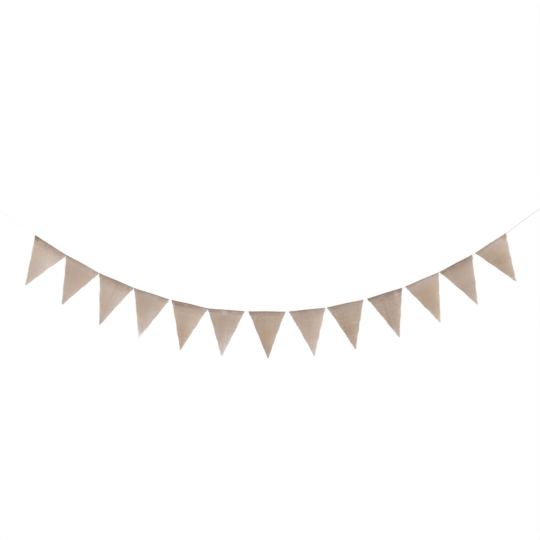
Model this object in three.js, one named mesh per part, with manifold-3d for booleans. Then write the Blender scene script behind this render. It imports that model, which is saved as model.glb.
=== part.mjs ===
// Fabric bunting: thirteen hessian pennants, each turned to the back along its top to make a
// casing, carried on one cotton string that ends in a knotted hanging loop on each side.
// Millimetres, +Z up. The cloth faces -Y, and the origin is the hook point of the left loop.
import * as THREE from 'three';
import { mergeVertices } from 'three/addons/utils/BufferGeometryUtils.js';
import Module from 'manifold-3d';

const wasm = await Module();
wasm.setup();

// Driving dimensions
const STRING_DIAMETER = 2;
const CLOTH_THICKNESS = 1.2;
const CLEARANCE = 0.3; // between pieces that touch, and between the casing's two layers
const CASING_SLACK = 0.6; // between the string and the fold over it
const CASING_DEPTH = 15; // how far the top is turned to the back
const CASING_TAPER = 9; // below the string, where the two layers have come together
const TIP_WIDTH = 4; // a pennant's tip is cut a little blunt
const SIDE_WAVE = 0.8; // how unevenly the raw sides are cut
const SIDE_WAVE_LENGTH = 64;
const CREASE_REACH = 17; // half the width of the soft upright crease in each pennant
const COLUMNS = 8; // faces across a pennant
const FOLD_STEPS = 4; // faces round the fold over the string
const FRONT_ROWS = 8; // faces below the casing
const STRING_STEPS = 76;
const STRING_SIDES = 8;

const LOOP_WIDTH = 12;
const LOOP_STEPS = 26;
const KNOT_LENGTH = 8.4;
const KNOT_DIAMETER = 6;
const TAIL_LENGTH = 14;

// The middle of the cloth runs round the string at this radius, and then closes to half a layer.
const FOLD_RADIUS = STRING_DIAMETER / 2 + CASING_SLACK + CLOTH_THICKNESS / 2;
const LAYER_OFFSET = (CLOTH_THICKNESS + CLEARANCE) / 2;
const QUARTER_FOLD = (FOLD_RADIUS * Math.PI) / 2;

// Where the loops hang, as [x, z]
const LEFT_HOOK = [0, 0];
const RIGHT_HOOK = [2166, 7];

// The string's middle line from knot to knot, as [x, z]: two tail points, the first pennant's
// end, then each pennant's middle and the gap after it, the last pennant's end and two tail points.
const STRING_ROUTE = [
  [29, -22], [79, -56], [107, -74], [182, -129.5], [240.5, -167.5], [300.5, -205.5], [364.5, -239.5],
  [427.5, -275.5], [494, -303.5], [560, -332], [628.5, -354], [700.5, -377], [774.5, -393.5], [844, -410.5],
  [914.5, -416], [992.5, -422], [1070.5, -422], [1147.5, -423], [1224, -415], [1297.5, -407.5],
  [1370, -391.5], [1447, -375.5], [1521.5, -352], [1594, -329.5], [1664, -299.5], [1730.5, -271.5],
  [1794, -237.5], [1862.5, -202], [1926.5, -160], [1985, -123], [2070, -59], [2116, -27], [2137, -13],
];

// One row for each pennant, in mm and degrees. start is the way along the string to its left
// end, apex is how far the tip lies right of the middle, tip is how far it swings forward, turn
// twists the lower part about the upright, belly rounds the middle forward, crease_at is a part
// of the width and crease its height, and the ears are the turned-back corners beyond each side.
const PENNANTS = [
  {
    start: 187, width: 139.5, height: 181.5, apex: 2.5, ear_left: 1, ear_right: 4,
    tip: 6, turn: -4, belly: 4, crease_at: 0.72, crease: 2.5,
  },
  {
    start: 329.5, width: 141.5, height: 176, apex: 5, ear_left: 4, ear_right: 1,
    tip: -5, turn: 5, belly: 3, crease_at: 0.3, crease: -2,
  },
  {
    start: 475, width: 140.5, height: 182, apex: 6.5, ear_left: 4, ear_right: 4,
    tip: 8, turn: -6, belly: 3, crease_at: 0.68, crease: 3,
  },
  {
    start: 619, width: 140.5, height: 174, apex: 4.5, ear_left: 3, ear_right: 4,
    tip: 12, turn: 4, belly: -3, crease_at: 0.6, crease: 2,
  },
  {
    start: 770.5, width: 140, height: 180, apex: 4.5, ear_left: 1, ear_right: 4,
    tip: -6, turn: -5, belly: 4, crease_at: 0.35, crease: -2,
  },
  {
    start: 913.5, width: 139, height: 177, apex: -3.5, ear_left: 4, ear_right: 1,
    tip: 7, turn: 3, belly: 3, crease_at: 0.5, crease: 2,
  },
  {
    start: 1069, width: 140, height: 182, apex: 5, ear_left: 2, ear_right: 2,
    tip: -8, turn: 2, belly: 4, crease_at: 0.3, crease: 1.5,
  },
  {
    start: 1223.5, width: 139, height: 179.5, apex: 9.5, ear_left: 1, ear_right: 2,
    tip: 4, turn: -7, belly: 4, crease_at: 0.75, crease: 2.5,
  },
  {
    start: 1371, width: 140.5, height: 181.5, apex: 2.5, ear_left: 1, ear_right: 1,
    tip: -4, turn: -3, belly: 5, crease_at: 0.25, crease: -2,
  },
  {
    start: 1528.5, width: 139, height: 179.5, apex: 3, ear_left: 1, ear_right: 2,
    tip: 5, turn: 4, belly: 3, crease_at: 0.7, crease: 2,
  },
  {
    start: 1680.5, width: 139, height: 179.5, apex: -0.5, ear_left: 1, ear_right: 1,
    tip: 9, turn: -5, belly: 4, crease_at: 0.8, crease: 3,
  },
  {
    start: 1824.5, width: 139.5, height: 179.5, apex: 1.5, ear_left: 2, ear_right: 4,
    tip: -6, turn: 5, belly: 3, crease_at: 0.4, crease: 2,
  },
  {
    start: 1978.5, width: 139, height: 177, apex: 2, ear_left: 1, ear_right: 4,
    tip: 5, turn: -4, belly: 5, crease_at: 0.7, crease: 2.5,
  },
];

const { lerp, clamp, smoothstep, degToRad } = THREE.MathUtils;

const upright = ([x, z]) => new THREE.Vector3(x, 0, z);

const stringLine = new THREE.CatmullRomCurve3(STRING_ROUTE.map(upright));
stringLine.arcLengthDivisions = 3000;
const stringLength = stringLine.getLength();

const matt = (color) => new THREE.MeshStandardMaterial({ color, roughness: 0.95, metalness: 0 });
const hessian = () => matt(0xbca68f);
const cotton = () => matt(0xf2ede2);

/** The string's middle, some way along it from the left knot. */
function pointOnString(way) {
  return stringLine.getPointAt(clamp(way / stringLength, 0, 1));
}

/** A closed mesh whose faces share their corners. */
function welded(geometry) {
  geometry.deleteAttribute('normal');
  geometry.deleteAttribute('uv');
  const merged = mergeVertices(geometry, 1e-4);
  merged.computeVertexNormals();
  return merged;
}

/** A round cord along a curve. */
function cord(curve, steps) {
  const section = new THREE.Shape();
  for (let i = 0; i < STRING_SIDES; i += 1) {
    const angle = (2 * Math.PI * i) / STRING_SIDES;
    const x = (STRING_DIAMETER / 2) * Math.cos(angle);
    const y = (STRING_DIAMETER / 2) * Math.sin(angle);
    if (i === 0) section.moveTo(x, y);
    else section.lineTo(x, y);
  }
  return welded(new THREE.ExtrudeGeometry(section, { steps, extrudePath: curve }));
}

function named(name, geometry, material) {
  const mesh = new THREE.Mesh(geometry, material);
  mesh.name = name;
  return mesh;
}

// The pennants

/** A frame on the string at a pennant's middle, with x along its top and z up its height. */
function pennantFrame(pennant) {
  const left = pointOnString(pennant.start);
  const right = pointOnString(pennant.start + pennant.width);
  const frame = new THREE.Group();
  frame.position.lerpVectors(left, right, 0.5);
  frame.rotation.y = -Math.atan2(right.z - left.z, right.x - left.x);
  frame.updateMatrixWorld();
  return frame;
}

/** How deep the tip lies below the string's middle. */
function tipDepth(pennant) {
  return pennant.height - FOLD_RADIUS - CLOTH_THICKNESS / 2;
}

/** Depth below the string and way forward of it, for a length of cloth below the top of the fold. */
function casingSection(down) {
  const run = Math.abs(down) - QUARTER_FOLD;
  if (run < 0) {
    const angle = down / FOLD_RADIUS;
    return { depth: -FOLD_RADIUS * Math.cos(angle), forward: FOLD_RADIUS * Math.sin(angle) };
  }
  const closed = smoothstep(run, 0, CASING_TAPER);
  return { depth: run, forward: Math.sign(down) * lerp(FOLD_RADIUS, LAYER_OFFSET, closed) };
}

/** The cut's left and right side at a depth, as distances from the left end along the string. */
function sides(pennant, depth, isBack) {
  const fall = clamp(depth / tipDepth(pennant), 0, 1);
  const apex = pennant.width / 2 + pennant.apex;
  const wave = SIDE_WAVE * Math.sin(Math.PI * fall);
  const phase = (2 * Math.PI * (depth + pennant.start)) / SIDE_WAVE_LENGTH;
  const ear = isBack ? clamp(depth / CASING_DEPTH, 0, 1) : 0;
  const left = lerp(0, apex - TIP_WIDTH / 2, fall) + wave * Math.sin(phase);
  const right = lerp(pennant.width, apex + TIP_WIDTH / 2, fall) + wave * Math.cos(1.3 * phase);
  return { left: left - pennant.ear_left * ear, right: right + pennant.ear_right * ear };
}

/** How far the hanging cloth stands forward at a distance from the left end and a depth. */
function hang(pennant, across, depth) {
  const fall = clamp(depth / tipDepth(pennant), 0, 1);
  const off = across - pennant.width / 2 - pennant.apex * fall;
  const swing = pennant.tip * fall ** 2;
  const turn = Math.tan(degToRad(pennant.turn)) * off * fall ** 2;
  const swell = Math.sin(Math.PI * fall) ** 2;
  const belly = pennant.belly * (1 - (off / (pennant.width / 2)) ** 2);
  const offCrease = (across - pennant.crease_at * pennant.width) / CREASE_REACH;
  const crease = pennant.crease * Math.exp(-(offCrease ** 2));
  return swing + turn + swell * (belly + crease);
}

/** The middle of the cloth in the pennant's frame. */
function drape(pennant, frame, across, down) {
  const { depth, forward } = casingSection(down);
  const seat = frame.worldToLocal(pointOnString(pennant.start + across));
  return new THREE.Vector3(seat.x, -forward - hang(pennant, across, depth), seat.z - depth);
}

/** Lengths of cloth below the top of the fold, from the turned-back edge over the string to the tip. */
function clothRows(pennant) {
  const rows = [];
  const runs = [CASING_DEPTH - FOLD_RADIUS, CASING_TAPER, CASING_TAPER / 2];
  const casing = runs.map((run) => QUARTER_FOLD + run);
  casing.forEach((down) => rows.push(-down));
  for (let i = 0; i <= FOLD_STEPS; i += 1) {
    rows.push(lerp(-QUARTER_FOLD, QUARTER_FOLD, i / FOLD_STEPS));
  }
  casing.toReversed().forEach((down) => rows.push(down));
  const tip = QUARTER_FOLD + tipDepth(pennant);
  for (let i = 1; i <= FRONT_ROWS; i += 1) {
    rows.push(lerp(casing[0], tip, i / FRONT_ROWS));
  }
  return rows;
}

/** The way straight out of the cloth's front at one place. */
function outwardAt(pennant, frame, across, down) {
  const probe = 0.05;
  const place = (a, d) => drape(pennant, frame, a, d);
  const along = place(across + probe, down).sub(place(across - probe, down));
  const fall = place(across, down + probe).sub(place(across, down - probe));
  return fall.cross(along).normalize();
}

/** One cut of cloth with its casing: a thin block whose corners are laid on the draped cloth. */
function pennantGeometry(pennant, frame) {
  const rows = clothRows(pennant);
  const block = new THREE.BoxGeometry(1, 1, 1, COLUMNS, rows.length - 1, 1);
  const corners = block.attributes.position;
  for (let i = 0; i < corners.count; i += 1) {
    const down = rows[Math.round((0.5 - corners.getY(i)) * (rows.length - 1))];
    const { left, right } = sides(pennant, casingSection(down).depth, down < 0);
    const across = lerp(left, right, corners.getX(i) + 0.5);
    const place = drape(pennant, frame, across, down);
    const outward = outwardAt(pennant, frame, across, down);
    place.addScaledVector(outward, corners.getZ(i) * CLOTH_THICKNESS);
    corners.setXYZ(i, place.x, place.y, place.z);
  }
  return welded(block);
}

function makePennants() {
  const pennants = new THREE.Group();
  PENNANTS.forEach((pennant, index) => {
    const frame = pennantFrame(pennant);
    const name = `pennant_${String(index + 1).padStart(2, '0')}`;
    frame.add(named(name, pennantGeometry(pennant, frame), hessian()));
    pennants.add(frame);
  });
  return pennants;
}

// The hanging loops

function solidOf(geometry) {
  const shape = welded(geometry);
  const mesh = new wasm.Mesh({
    numProp: 3,
    vertProperties: new Float32Array(shape.attributes.position.array),
    triVerts: new Uint32Array(shape.index.array),
  });
  return new wasm.Manifold(mesh);
}

function geometryOf(solid) {
  const mesh = solid.getMesh();
  const geometry = new THREE.BufferGeometry();
  geometry.setAttribute('position', new THREE.BufferAttribute(mesh.vertProperties, 3));
  geometry.setIndex(new THREE.BufferAttribute(mesh.triVerts, 1));
  geometry.computeVertexNormals();
  return geometry;
}

/** The knot about x = 0: a rounded core with two slanting turns of string round it. */
function knotSolid() {
  const coreRadius = 0.9 * (KNOT_DIAMETER / 2);
  const turnRadius = 0.8 * (KNOT_DIAMETER / 2);
  const turnSlant = 0.35;
  const turnPlace = 0.13 * KNOT_LENGTH;
  const core = new THREE.SphereGeometry(1, 10, 6);
  core.scale(KNOT_LENGTH / 2, coreRadius, coreRadius);
  let knot = solidOf(core);
  [-1, 1].forEach((side) => {
    const turn = new THREE.TorusGeometry(turnRadius, STRING_DIAMETER / 2, 6, 12);
    turn.rotateY(Math.PI / 2 + side * turnSlant);
    turn.translate(side * turnPlace, 0, 0);
    knot = knot.add(solidOf(turn));
  });
  return knot;
}

/** A loop in its own frame: the hook point at the origin, and the knot along +x at reach. */
function loopGeometry(reach, tailDirection) {
  const side = [[0.97, 0.15], [0.72, 0.7], [0.42, 1], [0.14, 0.75]];
  const crown = [0, 0];
  const otherSide = side.toReversed().map(([x, z]) => [x, -z]);
  const outline = [...side, crown, ...otherSide].map(([x, z]) => upright([x * reach, (z * LOOP_WIDTH) / 2]));
  const ring = solidOf(cord(new THREE.CatmullRomCurve3(outline), LOOP_STEPS));
  const knotPlace = new THREE.Vector3(reach, 0, 0);
  const tailEnd = knotPlace.clone().addScaledVector(tailDirection, TAIL_LENGTH);
  const tail = solidOf(cord(new THREE.LineCurve3(knotPlace, tailEnd), 1));
  return geometryOf(ring.add(knotSolid().translate([reach, 0, 0])).add(tail));
}

/** Hangs a loop between its hook point and the string's end, which it clears by a little. */
function makeLoop(name, hook, stringEnd, stringOutward) {
  const hookPoint = upright(hook);
  const knot = stringEnd.clone().addScaledVector(stringOutward, KNOT_LENGTH / 2 + CLEARANCE);
  const towardsKnot = knot.clone().sub(hookPoint);
  const frame = new THREE.Group();
  frame.position.copy(hookPoint);
  frame.rotation.y = -Math.atan2(towardsKnot.z, towardsKnot.x);
  const down = new THREE.Vector3(0, 0, -1).applyAxisAngle(new THREE.Vector3(0, 1, 0), -frame.rotation.y);
  frame.add(named(name, loopGeometry(towardsKnot.length(), down), cotton()));
  return frame;
}

const bunting = new THREE.Group();
bunting.add(makePennants());
bunting.add(named('string', cord(stringLine, STRING_STEPS), cotton()));
bunting.add(makeLoop('hang_loop_left', LEFT_HOOK, stringLine.getPoint(0), stringLine.getTangent(0).negate()));
bunting.add(makeLoop('hang_loop_right', RIGHT_HOOK, stringLine.getPoint(1), stringLine.getTangent(1)));

export default bunting;
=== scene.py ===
"""Dresses the fabric bunting: woven hessian pennants on a twisted cotton string.

Metres, +Z up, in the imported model's own frame. The origin is the hook point of the left hanging
loop, the string runs along +X and the cloth faces -Y.
"""
import logging
import math
from collections.abc import Sequence
from dataclasses import dataclass, field
from enum import Enum

import bmesh
import bpy
import numpy as np
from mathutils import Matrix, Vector


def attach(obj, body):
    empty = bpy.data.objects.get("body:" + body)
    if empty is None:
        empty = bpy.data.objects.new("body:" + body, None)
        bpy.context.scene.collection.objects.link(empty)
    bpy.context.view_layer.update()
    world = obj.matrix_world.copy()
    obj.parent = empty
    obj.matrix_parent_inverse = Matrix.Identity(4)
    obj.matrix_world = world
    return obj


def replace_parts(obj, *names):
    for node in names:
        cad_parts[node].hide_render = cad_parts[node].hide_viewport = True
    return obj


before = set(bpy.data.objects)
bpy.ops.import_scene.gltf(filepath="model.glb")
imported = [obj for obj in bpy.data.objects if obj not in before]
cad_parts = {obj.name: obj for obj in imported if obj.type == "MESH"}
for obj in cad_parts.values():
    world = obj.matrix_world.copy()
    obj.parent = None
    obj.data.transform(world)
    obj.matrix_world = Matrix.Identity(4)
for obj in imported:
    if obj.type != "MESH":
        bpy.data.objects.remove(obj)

log = logging.getLogger("bunting")

MM = 0.001
MERGE_SHARE = 0.02  # of a tube's radius, within which its doubled points are merged
UP = np.array([0.0, 0.0, 1.0])
SEED = 100
HOOKS = {"left": (0.0, 0.0, 0.0), "right": (2.166, 0.0, 0.007)}

Colour = tuple[float, float, float]

# The string's middle line, as (x, z): its end at the left knot, two tail points, the first
# pennant's end, then each pennant's middle and the gap after it, the last pennant's end, two
# tail points and its end at the right knot.
STRING_ROUTE = (
    (0.029, -0.022), (0.079, -0.056), (0.107, -0.074), (0.182, -0.1295), (0.2405, -0.1675),
    (0.3005, -0.2055), (0.3645, -0.2395), (0.4275, -0.2755), (0.494, -0.3035), (0.560, -0.332),
    (0.6285, -0.354), (0.7005, -0.377), (0.7745, -0.3935), (0.844, -0.4105), (0.9145, -0.416),
    (0.9925, -0.422), (1.0705, -0.422), (1.1475, -0.423), (1.224, -0.415), (1.2975, -0.4075),
    (1.370, -0.3915), (1.447, -0.3755), (1.5215, -0.352), (1.594, -0.3295), (1.664, -0.2995),
    (1.7305, -0.2715), (1.794, -0.2375), (1.8625, -0.202), (1.9265, -0.160), (1.985, -0.123),
    (2.070, -0.059), (2.116, -0.027), (2.137, -0.013),
)


class Thread(Enum):
    """The two sets of yarns in a plain weave, by the axis of the flat cloth that counts them."""

    WARP = 0
    WEFT = 1


@dataclass(frozen=True)
class Patch:
    """A soft round place on a pennant where the weave is looser, closer or of another tone."""

    across: float  # share of the width, from the left
    down: float  # share of the height, from the top
    size: float  # metres from its middle to where about a third of it is left
    tone: float = 0.0  # how much paler its yarns are
    tan: float = 0.0  # how much browner its yarns are
    loose: float = 0.0  # how much narrower its yarns are, as a share

    def strength(self, cut: "PennantCut", across: np.ndarray, down: np.ndarray) -> np.ndarray:
        """How much of the patch is felt at places on a cut.

        Args:
            cut: The pennant that the patch lies on.
            across: Distances from the pennant's left end.
            down: Lengths of cloth below the top of the fold.

        Returns:
            From 0 away from the patch to 1 at its middle.
        """
        off_x = (across - self.across * cut.width) / self.size
        off_y = (down - self.down * cut.height) / self.size
        return np.exp(-(off_x**2) - off_y**2)


@dataclass(frozen=True)
class PennantCut:
    """One pennant's cut and the way that it hangs, in metres and degrees."""

    start: float  # the way along the string to its left end
    width: float
    height: float
    apex: float  # how far the tip lies right of the middle
    ear_left: float  # how far the turned-back corners stand out beyond the sides
    ear_right: float
    tip: float  # how far the tip swings forward
    turn: float  # twist of the lower part about the upright
    belly: float  # how far the middle rounds forward
    crease_at: float  # share of the width
    crease: float
    tone: float = 0.0  # how much paler its yarns are than most
    tan: float = 0.3  # how brown they are, from grey at 0 to tan at 1
    casing_light_and_shade: float = 0.0  # how much paler the cloth over the casing is: painted light, and painted shade where negative
    casing_tan: float = 0.2
    shoulder_left: float = 0.0  # how far the cloth below the casing stands out beyond the side
    shoulder_right: float = 0.0
    corner_left: float = 0.0  # how far the yarn ends stand out beside the casing
    corner_right: float = 0.0
    bow_left: float = 0.0  # how far the sides bow out between casing and tip
    bow_right: float = 0.0
    patches: tuple[Patch, ...] = ()


PENNANTS = (
    PennantCut(
        0.187, 0.1395, 0.1815, 0.0025, 0.001, 0.004, 0.006, -4, 0.004, 0.72, 0.0025,
        tone=0.065, tan=0.36, casing_light_and_shade=-0.01, casing_tan=0.28, shoulder_right=0.004, corner_right=0.001,
        bow_left=-0.002, bow_right=0.0018,
        patches=(
            Patch(0.7, 0.35, 0.035, 0.08, -0.1, 0.1), Patch(0.03, 0.05, 0.013, -0.5, 0.3),
            Patch(0.35, 0.055, 0.022, -0.04), Patch(0.27, 0.19, 0.04, 0.08),
        ),
    ),
    PennantCut(
        0.3295, 0.1415, 0.176, 0.005, 0.004, 0.001, -0.005, 5, 0.003, 0.3, -0.002,
        tone=-0.07, tan=0.49, casing_light_and_shade=0.195, casing_tan=0.18, corner_left=0.001,
        corner_right=0.0015, shoulder_right=0.0015, bow_left=-0.0007, bow_right=0.0008,
        patches=(
            Patch(0.35, 0.2, 0.04, -0.02, 0.05), Patch(0.6, 0.75, 0.04, 0.03, -0.1, 0.05),
            Patch(0.4, 0.6, 0.025, 0.05, -0.1, 0.04), Patch(0.53, 0.98, 0.03, 0.06),
        ),
    ),
    PennantCut(
        0.475, 0.1405, 0.182, 0.0065, 0.004, 0.004, 0.008, -6, 0.003, 0.68, 0.003,
        tone=-0.01, tan=0.33, casing_light_and_shade=-0.03, casing_tan=0.3, corner_left=0.0015,
        corner_right=0.001, bow_left=-0.0016,
        patches=(
            Patch(0.75, 0.35, 0.03, 0.04, -0.1, 0.05), Patch(0.5, 0.7, 0.03, 0.01, 0.1),
            Patch(0.25, 0.2, 0.04, 0.07), Patch(0.55, 0.98, 0.03, -0.07),
        ),
    ),
    PennantCut(
        0.619, 0.1405, 0.174, 0.0045, 0.003, 0.004, 0.012, 4, -0.003, 0.6, 0.002,
        tone=-0.055, tan=0.41, casing_light_and_shade=0.125, casing_tan=0, corner_left=0.001,
        bow_left=-0.0007, bow_right=0.0016,
        patches=(
            Patch(0.5, 0.15, 0.05, -0.08, 0.05), Patch(0.55, 0.95, 0.05, 0.08, -0.25, 0.16),
            Patch(0.53, 1.0, 0.016, 0.16, -0.3, 0.4), Patch(0.7, 0.42, 0.025, 0.08, -0.1, 0.03),
            Patch(0.3, 0.64, 0.02, 0.16),
        ),
    ),
    PennantCut(
        0.7705, 0.140, 0.180, 0.0045, 0.001, 0.004, -0.006, -5, 0.004, 0.35, -0.002,
        tone=-0.025, tan=0.55, casing_light_and_shade=-0.04, casing_tan=0.35, corner_right=0.0015,
        bow_left=-0.0009, bow_right=-0.0005,
        patches=(
            Patch(0.42, 0.75, 0.045, -0.05, 0.2), Patch(0.7, 0.4, 0.03, 0.05, -0.08),
            Patch(0.2, 0.04, 0.02, -0.1, 0.1), Patch(0.52, 0.98, 0.03, -0.06),
        ),
    ),
    PennantCut(
        0.9135, 0.139, 0.177, -0.0035, 0.004, 0.001, 0.007, 3, 0.003, 0.5, 0.002,
        tone=-0.075, tan=0.36, casing_light_and_shade=0.08, casing_tan=0.11, corner_left=0.0015,
        bow_right=0.0005,
        patches=(
            Patch(0.5, 0.18, 0.045, -0.09, 0.05), Patch(0.48, 0.95, 0.05, 0.12, -0.25, 0.16),
            Patch(0.45, 0.06, 0.01, 0.3, -0.2, 0.1), Patch(0.62, 0.64, 0.025, 0.06, -0.05),
        ),
    ),
    PennantCut(
        1.069, 0.140, 0.182, 0.005, 0.002, 0.002, -0.008, 2, 0.004, 0.3, 0.0015,
        tone=-0.15, tan=0.69, casing_light_and_shade=0.07, casing_tan=0.37, bow_left=-0.0009, bow_right=-0.0013,
        patches=(
            Patch(0.5, 0.75, 0.045, -0.04, 0.15, -0.04), Patch(0.7, 0.25, 0.04, 0.06, -0.1),
            Patch(0.62, 0.64, 0.025, 0.09, -0.1, 0.02),
        ),
    ),
    PennantCut(
        1.2235, 0.139, 0.1795, 0.0095, 0.001, 0.002, 0.004, -7, 0.004, 0.75, 0.0025,
        tone=-0.05, tan=0.44, casing_light_and_shade=0.045, casing_tan=0.18, bow_left=-0.0013, bow_right=-0.0003,
        patches=(
            Patch(0.3, 0.12, 0.04, -0.07), Patch(0.65, 0.2, 0.035, -0.05),
            Patch(0.85, 0.3, 0.03, 0.06, -0.1, 0.06), Patch(0.6, 0.95, 0.045, 0.09, -0.25, 0.14),
            Patch(0.52, 0.66, 0.03, 0.02),
        ),
    ),
    PennantCut(
        1.371, 0.1405, 0.1815, 0.0025, 0.001, 0.001, -0.004, -3, 0.005, 0.25, -0.002,
        tone=-0.155, tan=0.64, casing_light_and_shade=0.12, casing_tan=0.16, bow_left=-0.0013, bow_right=-0.0009,
        patches=(Patch(0.45, 0.62, 0.035, -0.07, 0.12), Patch(0.75, 0.6, 0.03, 0.03, -0.1, 0.04)),
    ),
    PennantCut(
        1.5285, 0.139, 0.1795, 0.003, 0.001, 0.002, 0.005, 4, 0.003, 0.7, 0.002,
        tone=-0.175, tan=0.46, casing_light_and_shade=-0.065, casing_tan=0.17, bow_left=-0.0012, bow_right=-0.0012,
        patches=(
            Patch(0.4, 0.15, 0.035, -0.03), Patch(0.8, 0.6, 0.04, 0.04, -0.1, 0.04),
            Patch(0.45, 0.59, 0.03, -0.1, 0.05), Patch(0.27, 0.66, 0.015, -0.05),
            Patch(0.52, 0.95, 0.04, 0.09, -0.15, 0.04), Patch(0.8, 0.11, 0.006, 0.5, -0.3),
        ),
    ),
    PennantCut(
        1.6805, 0.139, 0.1795, -0.0005, 0.001, 0.001, 0.009, -5, 0.004, 0.8, 0.003,
        tone=-0.035, tan=0.64, casing_light_and_shade=0.1, casing_tan=0, bow_left=-0.001, bow_right=-0.0002,
        patches=(
            Patch(0.35, 0.4, 0.045, -0.1, 0.16), Patch(0.5, 0.66, 0.03, -0.05, 0.08),
            Patch(0.9, 0.5, 0.035, 0.09, -0.25, 0.05), Patch(0.5, 0.95, 0.04, 0.12, -0.25, 0.05),
        ),
    ),
    PennantCut(
        1.8245, 0.1395, 0.1795, 0.0015, 0.002, 0.004, -0.006, 5, 0.003, 0.4, 0.002,
        tone=-0.075, tan=0.36, casing_light_and_shade=-0.14, casing_tan=0.23, corner_left=0.001,
        bow_left=-0.0008, bow_right=-0.0009,
        patches=(
            Patch(0.5, 0.25, 0.045, -0.05, 0.08), Patch(0.53, 0.66, 0.03, -0.12, 0, 0.03),
            Patch(0.51, 0.95, 0.04, 0.05, -0.12, 0.03),
        ),
    ),
    PennantCut(
        1.9785, 0.139, 0.177, 0.002, 0.001, 0.004, 0.005, -4, 0.005, 0.7, 0.0025,
        tone=-0.07, tan=0.57, casing_light_and_shade=0.21, casing_tan=0.14, bow_left=-0.0011, bow_right=-0.0008,
        patches=(
            Patch(0.38, 0.5, 0.04, -0.09, 0.25), Patch(0.15, 0.2, 0.03, -0.06, 0.12),
            Patch(0.85, 0.25, 0.035, 0.06, -0.15, 0.05), Patch(0.7, 0.6, 0.03, 0.06, -0.12, 0.02),
            Patch(0.5, 0.7, 0.02, -0.08, 0.05), Patch(0.51, 0.95, 0.035, 0.06, -0.15, 0.02),
            Patch(0.97, 0.07, 0.012, -0.25, 0.35),
        ),
    ),
)


def curve_step(
    start: np.ndarray, end: np.ndarray, leave: np.ndarray, arrive: np.ndarray, t: np.ndarray
) -> np.ndarray:
    """A smooth step between two points.

    Args:
        start: The first point.
        end: The second point.
        leave: The way that it leaves the first, for a whole step.
        arrive: The way that it arrives at the second.
        t: How far along the step, from 0 to 1, in a column.

    Returns:
        A point for each row of t.
    """
    bend = 3 * (end - start) - 2 * leave - arrive
    twist = 2 * (start - end) + leave + arrive
    return start + leave * t + bend * t**2 + twist * t**3


@dataclass
class StringLine:
    """The string's middle line, a smooth centripetal curve through its route."""

    route: tuple[tuple[float, float], ...]
    samples: int = 80  # on each step of the route
    points: np.ndarray = field(init=False)
    ways: np.ndarray = field(init=False)

    def __post_init__(self) -> None:
        """Works out the curve's points and how far along it each one lies."""
        knots = np.array([(x, 0.0, z) for x, z in self.route])
        first, last = 2 * knots[0] - knots[1], 2 * knots[-1] - knots[-2]
        knots = np.vstack([first, knots, last])
        steps = [self._step(knots[i : i + 4]) for i in range(len(self.route) - 1)]
        self.points = np.vstack([*steps, knots[-2:-1]])
        lengths = np.linalg.norm(np.diff(self.points, axis=0), axis=1)
        self.ways = np.concatenate([[0.0], np.cumsum(lengths)])

    def _step(self, around: np.ndarray) -> np.ndarray:
        """Works out one step of the curve.

        Args:
            around: Four route points in a row, of which the step joins the middle two.

        Returns:
            The step's points, without its last one.
        """
        before, start, end, after = around
        gaps = np.sqrt(np.linalg.norm(np.diff(around, axis=0), axis=1))
        leave = (start - before) / gaps[0] - (end - before) / (gaps[0] + gaps[1]) + (end - start) / gaps[1]
        arrive = (end - start) / gaps[1] - (after - start) / (gaps[1] + gaps[2]) + (after - end) / gaps[2]
        t = np.linspace(0, 1, self.samples, endpoint=False)[:, None]
        return curve_step(start, end, leave * gaps[1], arrive * gaps[1], t)

    @property
    def length(self) -> float:
        """The string's length between its knots."""
        return float(self.ways[-1])

    @property
    def outward(self) -> tuple[np.ndarray, np.ndarray]:
        """The directions in which the line leaves its two ends, left and right."""
        left, right = self.points[0] - self.points[1], self.points[-1] - self.points[-2]
        return left / np.linalg.norm(left), right / np.linalg.norm(right)

    def at(self, way: np.ndarray | float) -> np.ndarray:
        """Points on the string.

        Args:
            way: Distances along the string from its left end.

        Returns:
            A point in the row frame for each distance.
        """
        way = np.asarray(way, float)
        return np.stack([np.interp(way, self.ways, self.points[:, i]) for i in range(3)], axis=-1)


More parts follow.
